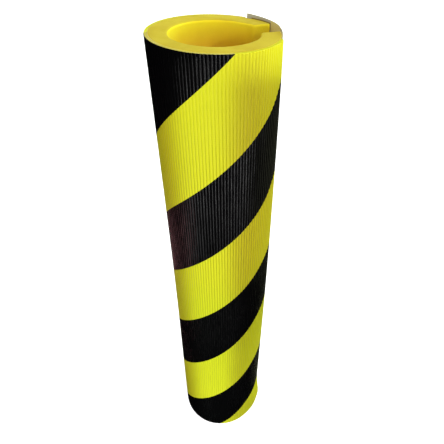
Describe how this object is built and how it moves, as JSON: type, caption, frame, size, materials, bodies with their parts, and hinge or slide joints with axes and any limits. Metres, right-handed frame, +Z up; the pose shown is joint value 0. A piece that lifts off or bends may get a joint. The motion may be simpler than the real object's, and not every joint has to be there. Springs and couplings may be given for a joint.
{
  "type": "foam impact protector",
  "caption": "Split foam tube that cushions a post, in a ribbed cover with diagonal hazard bands, closed along its slit by a folding hook and loop strip.",
  "frame": {"origin": "centre of the bore at the tube's bottom end", "axes": "+Z up along the bore, +X out through the middle of the slit"},
  "size_m": [0.0994, 0.1, 0.5023],
  "materials": {
    "foam": "matt closed-cell foam, cut ends",
    "cover": "finely ribbed soft sheet, satin, yellow with black diagonal bands",
    "adhesive": "adhesive film and adhesive foam tape",
    "strip": "soft pale grey sheet, satin",
    "hook": "grey-brown woven hook tape",
    "loop": "grey-brown napped loop tape"
  },
  "bodies": {
    "tube": {"foam_core": "foam", "cover_film": "adhesive", "ribbed_cover": "cover", "strip_film": "adhesive", "strip_root": "strip", "loop_tape": "loop"},
    "flap": {"closing_flap": "strip", "hook_tape": "hook"}
  },
  "joints": [
    {"name": "flap_fold", "type": "hinge", "parent": "tube", "child": "flap", "pos_m": [0.04838, -0.00999, 0], "axis": [0, 0, -1], "range_deg": [0, 150], "stiffness_Nm_per_rad": 0.05}
  ]
}
